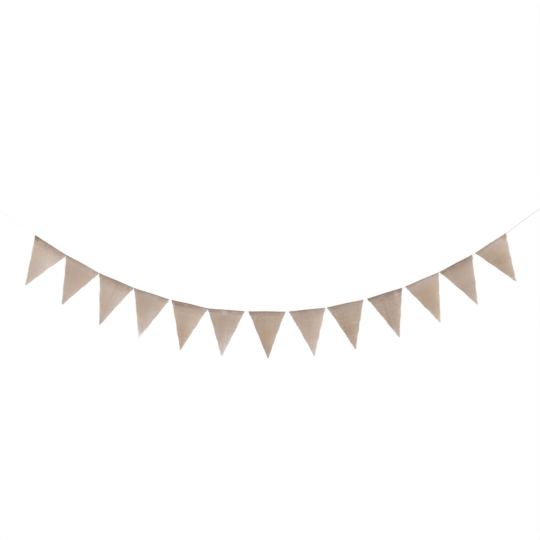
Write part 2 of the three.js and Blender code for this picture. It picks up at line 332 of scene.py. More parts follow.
@dataclass(frozen=True)
class Drape:
    """Lays the flat cloth of one pennant over the string and lets it hang."""

    cut: PennantCut
    line: StringLine
    string_radius: float = 1.0 * MM
    casing_slack: float = 0.6 * MM
    thickness: float = 1.2 * MM
    clearance: float = 0.3 * MM
    casing_depth: float = 15 * MM
    casing_taper: float = 9 * MM
    tip_width: float = 3 * MM
    side_wave: float = 0.8 * MM
    side_wave_length: float = 64 * MM
    side_wave_skew: float = 1.3  # how much faster the right side waves
    crease_reach: float = 17 * MM
    shoulder_end: float = 0.42  # of the way down to the tip
    corner_reach: float = 10 * MM
    area_samples: int = 400

    @property
    def fold_radius(self) -> float:
        """From the string's middle to the middle of the cloth that runs over it."""
        return self.string_radius + self.casing_slack + self.thickness / 2

    @property
    def quarter_fold(self) -> float:
        """Length of cloth from the top of the fold to level with the string."""
        return self.fold_radius * math.pi / 2

    @property
    def tip_depth(self) -> float:
        """How deep the tip lies below the string's middle."""
        return self.cut.height - self.fold_radius - self.thickness / 2

    @property
    def back_end(self) -> float:
        """Where the turned-back cloth ends, as a negative length below the top of the fold."""
        return -(self.quarter_fold + self.casing_depth - self.fold_radius)

    @property
    def front_end(self) -> float:
        """Length of cloth from the top of the fold to the tip."""
        return self.quarter_fold + self.tip_depth

    @property
    def flat_area(self) -> float:
        """The cut's area before it was folded."""
        down = np.linspace(self.back_end, self.front_end, self.area_samples)
        left, right = self.sides(down)
        return float(np.sum(right - left) * (down[1] - down[0]))

    def section(self, down: np.ndarray) -> tuple[np.ndarray, np.ndarray]:
        """The casing's section.

        Args:
            down: Lengths of cloth below the top of the fold, negative on the back.

        Returns:
            How deep below the string's middle each lies, and how far forward of it.
        """
        run = np.abs(down) - self.quarter_fold
        angle = down / self.fold_radius
        closed = np.clip(run / self.casing_taper, 0, 1)
        closed = closed * closed * (3 - 2 * closed)
        layer = (self.thickness + self.clearance) / 2
        beside = np.sign(down) * (self.fold_radius + (layer - self.fold_radius) * closed)
        over = run < 0
        depth = np.where(over, -self.fold_radius * np.cos(angle), run)
        return depth, np.where(over, self.fold_radius * np.sin(angle), beside)

    def sides(self, down: np.ndarray) -> tuple[np.ndarray, np.ndarray]:
        """Finds the cut's two sides.

        Args:
            down: Lengths of cloth below the top of the fold, negative on the back.

        Returns:
            The left and the right side, as distances from the pennant's left end.
        """
        depth, _ = self.section(down)
        fall = np.clip(depth / self.tip_depth, 0, 1)
        middle = self.cut.width / 2 + self.cut.apex
        wave = self.side_wave * np.sin(np.pi * fall)
        phase = 2 * np.pi * (depth + self.cut.start) / self.side_wave_length
        left = (middle - self.tip_width / 2) * fall + wave * np.sin(phase)
        right = self.cut.width + (middle + self.tip_width / 2 - self.cut.width) * fall
        right = right + wave * np.cos(self.side_wave_skew * phase)
        below = np.clip(depth / self.casing_depth, 0, 1)
        ear = np.where(down < 0, below, 0)
        shoulder = np.where(down < 0, 0, below * np.clip(1 - fall / self.shoulder_end, 0, 1))
        corner = np.clip(1 - np.abs(depth) / self.corner_reach, 0, 1)
        bow = np.sin(np.pi * fall) ** 0.5
        cut = self.cut
        left = left - cut.ear_left * ear - cut.shoulder_left * shoulder - cut.corner_left * corner
        right = right + cut.ear_right * ear + cut.shoulder_right * shoulder + cut.corner_right * corner
        return left - cut.bow_left * bow, right + cut.bow_right * bow

    def hang(self, across: np.ndarray, depth: np.ndarray) -> np.ndarray:
        """Works out the hanging cloth's swing, turn, belly and crease.

        Args:
            across: Distances from the pennant's left end.
            depth: How deep below the string's middle the places lie.

        Returns:
            How far forward the cloth stands at each place.
        """
        cut = self.cut
        fall = np.clip(depth / self.tip_depth, 0, 1)
        off = across - cut.width / 2 - cut.apex * fall
        swing = cut.tip * fall**2
        turn = math.tan(math.radians(cut.turn)) * off * fall**2
        swell = np.sin(np.pi * fall) ** 2
        belly = cut.belly * (1 - (off / (cut.width / 2)) ** 2)
        crease = cut.crease * np.exp(-(((across - cut.crease_at * cut.width) / self.crease_reach) ** 2))
        return swing + turn + swell * (belly + crease)

    def place(self, across: np.ndarray, down: np.ndarray) -> np.ndarray:
        """Where the middle of the cloth lies.

        Args:
            across: Distances from the pennant's left end.
            down: Lengths of cloth below the top of the fold.

        Returns:
            Points in the row frame.
        """
        ends = self.line.at(np.array([self.cut.start, self.cut.start + self.cut.width]))
        along = (ends[1] - ends[0]) / np.linalg.norm(ends[1] - ends[0])
        fall = np.array([along[2], 0.0, -along[0]])
        depth, forward = self.section(down)
        points = self.line.at(self.cut.start + across) + fall * depth[..., None]
        points[..., 1] -= forward + self.hang(across, depth)
        return points

    def lay(self, across: np.ndarray, down: np.ndarray, out: np.ndarray) -> np.ndarray:
        """Finds points that stand off the middle of the cloth.

        Args:
            across: Distances from the pennant's left end.
            down: Lengths of cloth below the top of the fold.
            out: How far out of the cloth's front they stand.

        Returns:
            Points in the row frame.
        """
        probe = 0.05 * MM
        along = self.place(across + probe, down) - self.place(across - probe, down)
        fall = self.place(across, down + probe) - self.place(across, down - probe)
        outward = np.cross(fall, along)
        outward /= np.linalg.norm(outward, axis=-1, keepdims=True)
        return self.place(across, down) + outward * np.asarray(out)[..., None]


def tubes(
    name: str, lines: Sequence[np.ndarray], radii: Sequence[np.ndarray], depth: float, rounds: int = 1
) -> bpy.types.Mesh:
    """Sweeps a round section along lines with Blender's curve bevel.

    Args:
        name: The mesh's name.
        lines: The points of each line.
        radii: For each line, how thick it is at its points, as a share of depth.
        depth: The section's radius.
        rounds: 0 for a section with four sides, 1 for six.

    Returns:
        One mesh that holds all the tubes, with their ends closed.
    """
    curve = bpy.data.curves.new(name, "CURVE")
    curve.dimensions = "3D"
    curve.twist_mode = "Z_UP"
    curve.bevel_depth = depth
    curve.bevel_resolution = rounds
    curve.use_fill_caps = True
    for line, radius in zip(lines, radii):
        spline = curve.splines.new("POLY")
        spline.points.add(len(line) - 1)
        spline.points.foreach_set("co", np.column_stack([line, np.ones(len(line))]).ravel())
        spline.points.foreach_set("radius", np.asarray(radius, float))
    holder = bpy.data.objects.new(name, curve)
    rough = bpy.data.meshes.new_from_object(holder)
    bpy.data.objects.remove(holder)
    bpy.data.curves.remove(curve)
    shape = bmesh.new()
    shape.from_mesh(rough)
    bpy.data.meshes.remove(rough)
    bmesh.ops.remove_doubles(shape, verts=shape.verts, dist=depth * MERGE_SHARE)
    mesh = bpy.data.meshes.new(name)
    shape.to_mesh(mesh)
    shape.free()
    return mesh


def points_of(mesh: bpy.types.Mesh) -> np.ndarray:
    """Reads the places of a mesh's points.

    Args:
        mesh: The mesh to read.

    Returns:
        A row for each point.
    """
    found = np.empty(len(mesh.vertices) * 3)
    mesh.vertices.foreach_get("co", found)
    return found.reshape(-1, 3)


def move_points(mesh: bpy.types.Mesh, places: np.ndarray) -> None:
    """Puts a mesh's points at new places."""
    mesh.vertices.foreach_set("co", np.ascontiguousarray(places, float).ravel())
    mesh.update()


def joined(name: str, meshes: Sequence[bpy.types.Mesh]) -> bpy.types.Mesh:
    """Joins meshes in one with smooth faces.

    Args:
        name: The whole mesh's name.
        meshes: What it is made of, which is removed.

    Returns:
        The whole mesh.
    """
    shape = bmesh.new()
    for mesh in meshes:
        shape.from_mesh(mesh)
        bpy.data.meshes.remove(mesh)
    bmesh.ops.recalc_face_normals(shape, faces=shape.faces)
    for face in shape.faces:
        face.smooth = True
    whole = bpy.data.meshes.new(name)
    shape.to_mesh(whole)
    shape.free()
    return whole


def make_piece(name: str, mesh: bpy.types.Mesh, finish: bpy.types.Material) -> bpy.types.Object:
    """Puts a mesh in the scene as a piece of the bunting.

    Args:
        name: The piece's name.
        mesh: Its shape, in the row frame.
        finish: Its material.

    Returns:
        The piece's object, which rides on the bunting's one body.
    """
    piece = bpy.data.objects.new(name, mesh)
    mesh.materials.clear()
    mesh.materials.append(finish)
    bpy.context.scene.collection.objects.link(piece)
    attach(piece, "root")
    log.info("%s: %d faces", name, len(mesh.polygons))
    return piece


def drift(rng: np.random.Generator, places: np.ndarray, reach: float, spread: float = 0.7) -> np.ndarray:
    """A slow random unevenness.

    Args:
        rng: Where it comes from.
        places: Where it is wanted, in rising order.
        reach: About how far apart two places are that differ.
        spread: Its standard deviation.

    Returns:
        A value for each place, mostly between -1 and 1.
    """
    stops = np.arange(places[0], places[-1] + 2 * reach, reach)
    return np.interp(places, stops, rng.normal(0, spread, len(stops)))


@dataclass(frozen=True)
class Look:
    """How pale, brown and loose the cloth is at places on it; its tone and tan carry painted light and shade
    too.
    """

    tone: np.ndarray
    tan: np.ndarray
    loose: np.ndarray


def fading(distance: np.ndarray, reach: float, soft: float) -> np.ndarray:
    """Full strength near a place, and none from a reach on, with a soft edge between."""
    return np.clip((reach - distance) / soft, 0, 1)


@dataclass(frozen=True)
class Shading:
    """The tones that every pennant has in the same places, added to its own: painted shade over the casing
    and along the fold, painted light over the doubled cloth and towards the right side, paler raw sides and a
    paler tip.
    """

    overall: float = -0.015
    # painted shade over the casing, fading out below it; each pennant's own paler or darker casing adds to it
    casing: float = -0.15
    casing_end: float = 2.4  # casing depths
    casing_soft: float = 1.2  # casing depths
    doubled: float = 0.14  # painted light where the turned-back cloth lies close behind, offsetting the darker double layer
    doubled_at: float = 0.75  # casing depths
    doubled_reach: float = 0.5  # casing depths
    doubled_soft: float = 0.4  # casing depths
    fold: float = -0.1  # painted shade along the top of the fold
    fold_reach: float = 8.4 * MM
    fold_soft: float = 6 * MM
    painted_light_to_right: float = 0.15  # painted light from the left side to the right
    # painted light, less brown from the left side to the right
    painted_light_to_right_tan: float = -0.12
    to_tip: float = 0.03
    raw: float = 0.09  # along the raw sides
    raw_loose: float = 0.08
    raw_reach: float = 9 * MM

    def look(self, drape: Drape, across: np.ndarray, down: np.ndarray) -> Look:
        """Adds up the common tones with their painted light and shade, a cut's own tone and its patches.

        Args:
            drape: How the cut hangs.
            across: Distances from the pennant's left end.
            down: Lengths of cloth below the top of the fold.

        Returns:
            The look at each place.
        """
        cut, depth = drape.cut, drape.casing_depth
        casing = fading(down, self.casing_end * depth, self.casing_soft * depth)
        off_doubled = np.abs(down - self.doubled_at * depth)
        doubled = fading(off_doubled, self.doubled_reach * depth, self.doubled_soft * depth)
        fold = fading(np.abs(down), self.fold_reach, self.fold_soft)
        left, right = drape.sides(down)
        aside = np.clip((across - left) / (right - left), 0, 1) - 0.5
        fall = np.clip(down / drape.front_end, 0, 1)
        raw = np.exp(-np.clip(np.minimum(across - left, right - across), 0, None) / self.raw_reach)
        # The casing, doubled, fold and right-side terms are painted light and shade.
        tone = cut.tone + self.overall + (cut.casing_light_and_shade + self.casing) * casing
        tone = tone + self.doubled * doubled + self.fold * fold + self.raw * raw
        tone = tone + self.painted_light_to_right * aside + self.to_tip * fall**2
        tan = cut.tan + (cut.casing_tan - cut.tan) * casing + self.painted_light_to_right_tan * aside
        loose = self.raw_loose * raw
        for patch in cut.patches:
            felt = patch.strength(cut, across, down)
            tone, tan, loose = tone + patch.tone * felt, tan + patch.tan * felt, loose + patch.loose * felt
        return Look(tone, tan, loose)


@dataclass(frozen=True)
class Wave:
    """A slow wave in where the yarns of a cloth lie."""

    strength: float
    along: float  # radians from yarn to yarn
    across: float = 0.0

    def at(self, along: np.ndarray, across: np.ndarray, phase: float) -> np.ndarray:
        """The wave's height at places counted in yarns."""
        return self.strength * np.sin(self.along * along + self.across * across + phase)


@dataclass(frozen=True)
class YarnBeds:
    """Where the yarns of one flat cloth lie, counted in yarns from low to high."""

    low: np.ndarray
    high: np.ndarray
    warp_shifts: np.ndarray
    weft_shifts: np.ndarray
    phases: np.ndarray
    sways: tuple[Wave, Wave] = (Wave(0.6, 0.09), Wave(0.35, 0.2, 0.04))  # of the warp yarns
    bows: tuple[Wave, Wave] = (Wave(0.6, 0.08), Wave(0.35, 0.17, 0.04))  # of the weft yarns

    def flat(self, places: np.ndarray, weave: "Weave") -> tuple[np.ndarray, np.ndarray]:
        """Finds places in the flat cloth.

        Args:
            places: The places, counted in yarns.
            weave: The weave, for its pitches and wander.

        Returns:
            Their distances across the cloth and down it.
        """
        x, y = places[:, 0], places[:, 1]
        shift_x = np.interp(x, self.low[0] + np.arange(len(self.warp_shifts)), self.warp_shifts)
        shift_y = np.interp(y, self.low[1] + np.arange(len(self.weft_shifts)), self.weft_shifts)
        sway = sum(wave.at(y, x, phase) for wave, phase in zip(self.sways, self.phases[:2]))
        bow = sum(wave.at(x, y, phase) for wave, phase in zip(self.bows, self.phases[2:]))
        across = (x + shift_x) * weave.warp_pitch + weave.wander * sway
        return across, (y + shift_y) * weave.weft_pitch + weave.wander * bow


@dataclass(frozen=True)
class Yarn:
    """One yarn in the flat cloth, at points counted in the yarns that it crosses."""

    run: np.ndarray
    width: np.ndarray
    tone: np.ndarray
    tan: np.ndarray


def flat_line(own: int, index: int, run: np.ndarray) -> np.ndarray:
    """Draws a yarn's straight line in the flat cloth, counted in yarns.

    Args:
        own: The axis that counts the yarn's own set.
        index: Where the yarn comes in its set.
        run: Where its points lie along it.

    Returns:
        The line's points.
    """
    line = np.zeros((len(run), 3))
    line[:, own], line[:, 1 - own] = index, run
    return line


@dataclass(frozen=True)
class Weave:
    """A plain weave of flattened yarns, made flat and laid on a drape."""

    shading: Shading = Shading()
    warp_pitch: float = 2.05 * MM
    weft_pitch: float = 2.15 * MM
    half_width: float = 0.35  # of a pitch
    flatness: float = 0.42
    crimp: float = 0.31 * MM
    uneven_pitch: float = 0.05  # of a pitch
    uneven_width: float = 0.07
    slub: float = 0.14
    slub_reach: float = 2.5  # yarns
    thinnest: float = 0.35  # of a yarn's usual width
    thickest: float = 1.5
    worn_end: float = 0.6  # how thick a yarn still is at its cut ends
    end_room: float = 0.35  # yarns between a yarn's end and its next point, at least
    uneven_tone: float = 0.04  # from yarn to yarn
    mottle: float = 0.11  # along each yarn
    uneven_tan: float = 0.06
    wander: float = 0.5 * MM
    inset: float = 1.1 * MM  # how far within the cut's side a yarn may end
    overhang: float = 1.0 * MM  # how far beyond it
    raw_edge: float = 2.5 * MM  # how uneven the turned-back end is
    side_samples: int = 800
    before: tuple[int, int] = (3, 1)  # warp and weft beds laid out ahead of the cut
    spare: tuple[int, int] = (8, 6)  # and beyond its size in all

    def pitch(self, thread: Thread) -> float:
        """The distance between two yarns of a set."""
        return self.warp_pitch if thread is Thread.WARP else self.weft_pitch

    def cloth(self, name: str, drape: Drape, rng: np.random.Generator) -> bpy.types.Mesh:
        """Weaves one cut of cloth.

        Args:
            name: The mesh's name.
            drape: How the cut hangs.
            rng: Where its unevenness comes from.

        Returns:
            The mesh of its yarns, with attributes for its finish and its own map.
        """
        low = np.array([0.0, math.floor(drape.back_end / self.weft_pitch)]) - self.before
        count_x = int(drape.cut.width / self.warp_pitch) + self.spare[0]
        count_y = int((drape.front_end - drape.back_end) / self.weft_pitch) + self.spare[1]
        beds = YarnBeds(
            low, low + [count_x, count_y],
            rng.normal(0, self.uneven_pitch, count_x), rng.normal(0, self.uneven_pitch, count_y),
            rng.uniform(0, 2 * np.pi, 4),
        )
        return joined(name, [self._lay(name, drape, rng, thread, beds) for thread in Thread])

    def _spin(
        self, drape: Drape, rng: np.random.Generator, thread: Thread, beds: YarnBeds
    ) -> dict[int, Yarn]:
        """Makes the yarns of one set.

        Args:
            drape: How the cut hangs.
            rng: Where their unevenness comes from.
            thread: The set.
            beds: Where the yarns of the cloth lie.

        Returns:
            The yarns, by where they come in the set.
        """
        yarns, own = {}, thread.value
        for index in range(int(beds.low[own]), int(beds.high[own])):
            ends = self._ends(drape, thread, index, rng)
            if ends is None or ends[1] - ends[0] < 1:
                continue
            first, last = math.ceil(ends[0] + self.end_room), math.floor(ends[1] - self.end_room)
            run = np.concatenate([[ends[0]], np.arange(first, last + 1), [ends[1]]])
            look = self.shading.look(drape, *beds.flat(flat_line(own, index, run), self))
            slub = drift(rng, run, self.slub_reach)
            width = 1 + self.uneven_width * rng.normal() + self.slub * slub - look.loose
            width[[0, -1]] *= self.worn_end
            tone = look.tone + self.uneven_tone * rng.normal() + self.mottle * slub
            tan = look.tan + self.uneven_tan * (rng.normal() - slub)
            yarns[index] = Yarn(run, np.clip(width, self.thinnest, self.thickest), tone, tan)
        return yarns

    def _lay(
        self, name: str, drape: Drape, rng: np.random.Generator, thread: Thread, beds: YarnBeds
    ) -> bpy.types.Mesh:
        """Sweeps one set of yarns straight in the flat weave and lays it on the drape.

        Args:
            name: The cloth's name.
            drape: How the cut hangs.
            rng: Where the yarns' unevenness comes from.
            thread: The set.
            beds: Where the yarns of the cloth lie.

        Returns:
            The mesh of the set, with its attributes and map.
        """
        own, other = thread.value, 1 - thread.value
        yarns = self._spin(drape, rng, thread, beds)
        lines = [flat_line(own, index, yarn.run) for index, yarn in yarns.items()]
        widths = [yarn.width for yarn in yarns.values()]
        mesh = tubes(f"{name}_{thread.name.lower()}", lines, widths, self.half_width, rounds=0)
        flat = points_of(mesh)
        index = np.round(flat[:, own])
        tone, tan = np.zeros(len(flat)), np.zeros(len(flat))
        for number, yarn in yarns.items():
            chosen = index == number
            tone[chosen] = np.interp(flat[chosen, other], yarn.run, yarn.tone)
            tan[chosen] = np.interp(flat[chosen, other], yarn.run, yarn.tan)
        beside = flat[:, own] - index
        centre = flat.copy()
        centre[:, own] = index
        across, down = beds.flat(centre, self)
        offset = beside * self.pitch(thread)
        across, down = (across + offset, down) if own == 0 else (across, down + offset)
        over = np.cos(np.pi * flat[:, 0]) * np.cos(np.pi * flat[:, 1])
        side = 1 if thread is Thread.WARP else -1
        out = side * self.crimp * over + flat[:, 2] * self.pitch(thread) * self.flatness
        along = flat[:, other] * self.pitch(thread) / MM
        mark_yarns(mesh, np.column_stack([beside, along, index]), tone, tan)
        map_yarns(mesh, flat, own, beside, beds)
        move_points(mesh, drape.lay(across, down, out))
        return mesh

    def _ends(
        self, drape: Drape, thread: Thread, index: int, rng: np.random.Generator
    ) -> tuple[float, float] | None:
        """Finds where a yarn starts and ends.

        Args:
            drape: How the cut hangs.
            thread: The yarn's set.
            index: Where it comes in its set.
            rng: Where its ends' unevenness comes from.

        Returns:
            Both ends, counted in the other set's yarns, or None outside the cut.
        """
        over = rng.uniform(-self.inset, self.overhang, 2)
        if thread is Thread.WEFT:
            down = np.array([index * self.weft_pitch])
            if not drape.back_end < down[0] < drape.front_end:
                return None
            left, right = drape.sides(down)
            return (left[0] - over[0]) / self.warp_pitch, (right[0] + over[1]) / self.warp_pitch
        over[0] = rng.uniform(-self.raw_edge, self.raw_edge)
        across = index * self.warp_pitch
        down = np.linspace(drape.back_end, drape.front_end, self.side_samples)
        left, right = drape.sides(down)
        inside = down[(left < across) & (across < right)]
        if not len(inside):
            return None
        return (inside[0] - over[0]) / self.weft_pitch, (inside[-1] + over[1]) / self.weft_pitch


def mark_yarns(mesh: bpy.types.Mesh, thread: np.ndarray, tone: np.ndarray, tan: np.ndarray) -> None:
    """Writes the attributes that the hessian finish reads.

    Args:
        mesh: The yarns.
        thread: The place beside, along and among the yarns of each point.
        tone: How pale each point is.
        tan: How brown it is.
    """
    mesh.attributes.new("thread", "FLOAT_VECTOR", "POINT").data.foreach_set("vector", thread.ravel())
    mesh.attributes.new("tone", "FLOAT", "POINT").data.foreach_set("value", tone)
    mesh.attributes.new("tan", "FLOAT", "POINT").data.foreach_set("value", tan)


def map_yarns(
    mesh: bpy.types.Mesh, flat: np.ndarray, own: int, beside: np.ndarray, beds: YarnBeds
) -> None:
    """Gives the yarns a map of their own, with the warp in its left half and the weft in its right.

    Args:
        mesh: One set of yarns.
        flat: Its points in the flat weave, counted in yarns.
        own: The axis that counts the set's yarns.
        beside: How far each point lies from the middle of its yarn.
        beds: Where the yarns of the cloth lie.
    """
    spread = flat[:, :2].copy()
    spread[:, own] += 0.5 * beside
    share = (spread - beds.low + 0.5) / (beds.high - beds.low + 1)
    share[:, 0] = share[:, 0] / 2 + 0.5 * own
    corners = np.empty(len(mesh.loops), np.int32)
    mesh.loops.foreach_get("vertex_index", corners)
    own_map = mesh.uv_layers.new(name="OFBake")
    own_map.uv.foreach_set("vector", share[corners].ravel())


Feed = bpy.types.NodeSocket | float | Sequence[float]


class FinishNodes:
    """The nodes of one finish, as they are put together."""

    def __init__(self, name: str, look: dict[str, float | Sequence[float]]) -> None:
        """Starts a material.

        Args:
            name: The material's name.
            look: The plain values of its shader's sockets.
        """
        self.material = bpy.data.materials.new(name)
        self.material.use_nodes = True
        self.shader = self.feed(self.material.node_tree.nodes["Principled BSDF"], look)

    def feed(self, node: bpy.types.Node, feeds: dict[str | int, Feed]) -> bpy.types.Node:
        """Fills a node's sockets.

        Args:
            node: The node.
            feeds: For each socket, another node's output or a plain value.

        Returns:
            The node.
        """
        for socket, source in feeds.items():
            if isinstance(source, bpy.types.NodeSocket):
                self.material.node_tree.links.new(source, node.inputs[socket])
            else:
                node.inputs[socket].default_value = source
        return node

    def add(self, kind: str, feeds: dict[str | int, Feed], operation: str = "") -> bpy.types.Node:
        """Adds a node.

        Args:
            kind: Its type, without the prefix that all shader nodes share.
            feeds: What each of its sockets gets.
            operation: What a Math node works out.

        Returns:
            The node.
        """
        node = self.material.node_tree.nodes.new(f"ShaderNode{kind}")
        if operation:
            node.operation = operation
        return self.feed(node, feeds)

    def attribute(self, name: str, output: str) -> bpy.types.NodeSocket:
        """Reads an attribute of the mesh.

        Args:
            name: The attribute's name.
            output: The output of its node that is wanted.

        Returns:
            That output.
        """
        node = self.add("Attribute", {})
        node.attribute_name = name
        return node.outputs[output]

    def mix(
        self, blend: str, factor: bpy.types.NodeSocket, base: Feed, other: Colour
    ) -> bpy.types.NodeSocket:
        """Mixes another colour into a base colour.

        Args:
            blend: The way of mixing.
            factor: How much of the other colour goes in.
            base: The base colour.
            other: The other colour.

        Returns:
            The mixed colour.
        """
        node = self.add("Mix", {})
        node.data_type, node.blend_type = "RGBA", blend
        return self.feed(node, {"Factor": factor, "A": base, "B": (*other, 1)}).outputs["Result"]

    def finished(
        self, colour: bpy.types.NodeSocket, pattern: bpy.types.Node, strength: float, depth: float
    ) -> bpy.types.Material:
        """Gives the material its colour and relief.

        Args:
            colour: The colour.
            pattern: The pattern that raises the surface where it is bright.
            strength: How much of the relief shows, from 0 to 1.
            depth: How high it is.

        Returns:
            The material.
        """
        relief = self.add("Bump", {"Height": pattern.outputs["Fac"], "Strength": strength, "Distance": depth})
        self.feed(self.shader, {"Base Color": colour, "Normal": relief.outputs["Normal"]})
        return self.material


@dataclass(frozen=True)
class HessianFinish:
    """Undyed jute yarn: matt, fibrous and uneven in tone."""

    dark: Colour = (0.269, 0.196, 0.156)
    middle: Colour = (0.393, 0.309, 0.262)
    middle_at: float = 0.35
    pale: Colour = (0.566, 0.481, 0.450)
    pale_at: float = 0.75
    tan: Colour = (0.905, 0.775, 0.525)
    fleck: Colour = (0.55, 0.45, 0.36)
    fleck_scale: float = 0.9
    fleck_detail: float = 1
    flecks_from: float = 0.66
    flecks_to: float = 0.72
    fibre_stretch: tuple[float, float, float] = (9, 0.55, 3.7)  # beside, along and among the yarns
    fibre_turn: float = 0.35
    fibre_scale: float = 1.4
    fibre_detail: float = 3
    fibre_roughness: float = 0.6
    grain: float = 0.7  # how much the fibres change the tone
    roughness: float = 0.95
    sheen: float = 0.08
    sheen_roughness: float = 0.6
    specular: float = 0.2
    relief: float = 0.5
    relief_depth: float = 0.15 * MM

    def material(self) -> bpy.types.Material:
        """Puts the finish together.

        Returns:
            A node material that reads the yarns' thread, tone and tan attributes.
        """
        finish = FinishNodes("hessian", {
            "Roughness": self.roughness, "Sheen Weight": self.sheen,
            "Sheen Roughness": self.sheen_roughness, "Specular IOR Level": self.specular,
        })
        stretch = finish.add("Mapping", {
            "Vector": finish.attribute("thread", "Vector"), "Scale": self.fibre_stretch,
            "Rotation": (0, 0, self.fibre_turn),
        }).outputs["Vector"]
        fibre = finish.add("TexNoise", {
            "Vector": stretch, "Scale": self.fibre_scale, "Detail": self.fibre_detail,
            "Roughness": self.fibre_roughness,
        })
        # the tone attribute holds painted light and shade as well as the yarns' own tone
        tone = finish.attribute("tone", "Fac")
        level = finish.add("Math", {0: fibre.outputs["Fac"], 1: self.grain, 2: tone}, "MULTIPLY_ADD")
        ramp = finish.add("ValToRGB", {"Fac": level.outputs["Value"]})
        dark, pale = ramp.color_ramp.elements
        dark.position, dark.color = 0, (*self.dark, 1)
        pale.position, pale.color = self.pale_at, (*self.pale, 1)
        ramp.color_ramp.elements.new(self.middle_at).color = (*self.middle, 1)
        browned = finish.mix("MULTIPLY", finish.attribute("tan", "Fac"), ramp.outputs["Color"], self.tan)
        specks = finish.add(
            "TexNoise", {"Vector": stretch, "Scale": self.fleck_scale, "Detail": self.fleck_detail}
        )
        chosen = finish.add("MapRange", {
            "Value": specks.outputs["Fac"], "From Min": self.flecks_from, "From Max": self.flecks_to,
        })
        flecked = finish.mix("MULTIPLY", chosen.outputs["Result"], browned, self.fleck)
        return finish.finished(flecked, fibre, self.relief, self.relief_depth)


@dataclass(frozen=True)
class SpunFinish:
    """Spun thread or string, matt, with fine fibres, and painted shade towards the bunting's right end where
    that is set.
    """

    name: str
    colour: Colour
    shade: Colour
    right_end_shade: Colour = (1, 1, 1)  # painted shade: what multiplies its colour at the bunting's right end, where the string runs along the key light
    right_end_shade_from: float = 1.3
    right_end_shade_to: float = 2.05
    fibre_scale: float = 900
    fibre_detail: float = 3
    roughness: float = 0.9
    sheen: float = 0.15
    specular: float = 0.25
    relief: float = 0.4
    relief_depth: float = 0.1 * MM

    def material(self) -> bpy.types.Material:
        """Puts the finish together.

        Returns:
            A node material that reads only places in the row frame.
        """
        finish = FinishNodes(self.name, {
            "Roughness": self.roughness, "Sheen Weight": self.sheen, "Specular IOR Level": self.specular,
        })
        place = finish.add("TexCoord", {}).outputs["Object"]
        fibre = finish.add(
            "TexNoise", {"Vector": place, "Scale": self.fibre_scale, "Detail": self.fibre_detail}
        )
        plain = finish.mix("MIX", fibre.outputs["Fac"], (*self.shade, 1), self.colour)
        split = finish.add("SeparateXYZ", {"Vector": place})
        # painted shade that grows along x towards the bunting's right end
        along = finish.add("MapRange", {
            "Value": split.outputs["X"], "From Min": self.right_end_shade_from, "From Max": self.right_end_shade_to,
        })
        right_end_shaded = finish.mix("MULTIPLY", along.outputs["Result"], plain, self.right_end_shade)
        return finish.finished(right_end_shaded, fibre, self.relief, self.relief_depth)


# the string's right end is painted grey as shade
COTTON_STRING = SpunFinish(
    "cotton_string", colour=(0.76, 0.755, 0.74), shade=(0.59, 0.585, 0.57), right_end_shade=(0.57, 0.57, 0.57)
)
SEAM_THREAD = SpunFinish("seam_thread", colour=(0.55, 0.49, 0.42), shade=(0.43, 0.37, 0.31))


@dataclass(frozen=True)
class Seam:
    """A line of running stitches through both layers of a casing."""

    stitch: float = 3.2 * MM
    radius: float = 0.28 * MM
    depth: float = 11.5 * MM  # below the string
    holes: tuple[float, float] = (0.1, 0.9)  # shares of a stitch, where it comes up and goes down
    stand: float = 0.6  # how far its middle lies off the cloth, in thread radii
    wander: float = 0.15 * MM

    def sew(self, name: str, drape: Drape, rng: np.random.Generator) -> bpy.types.Mesh:
        """Sews the casing of one pennant.

        Args:
            name: The mesh's name.
            drape: How the pennant's cloth hangs.
            rng: Where its unevenness comes from.

        Returns:
            The thread's mesh.
        """
        front = drape.quarter_fold + self.depth
        left, right = drape.sides(np.array([front]))
        count = int((right[0] - left[0]) / self.stitch)
        layers = drape.thickness + drape.clearance
        rise = drape.thickness / 2 + self.stand * self.radius
        out = np.tile([rise, rise, -layers - rise, -layers - rise], count // 2)
        across = left[0] + self.stitch * (np.arange(len(out)) // 2 + np.tile(self.holes, len(out) // 2))
        down = front + rng.normal(0, self.wander, len(out))
        line = drape.lay(across, down, out)
        return joined(name, [tubes(name, [line], [np.ones(len(line))], self.radius)])


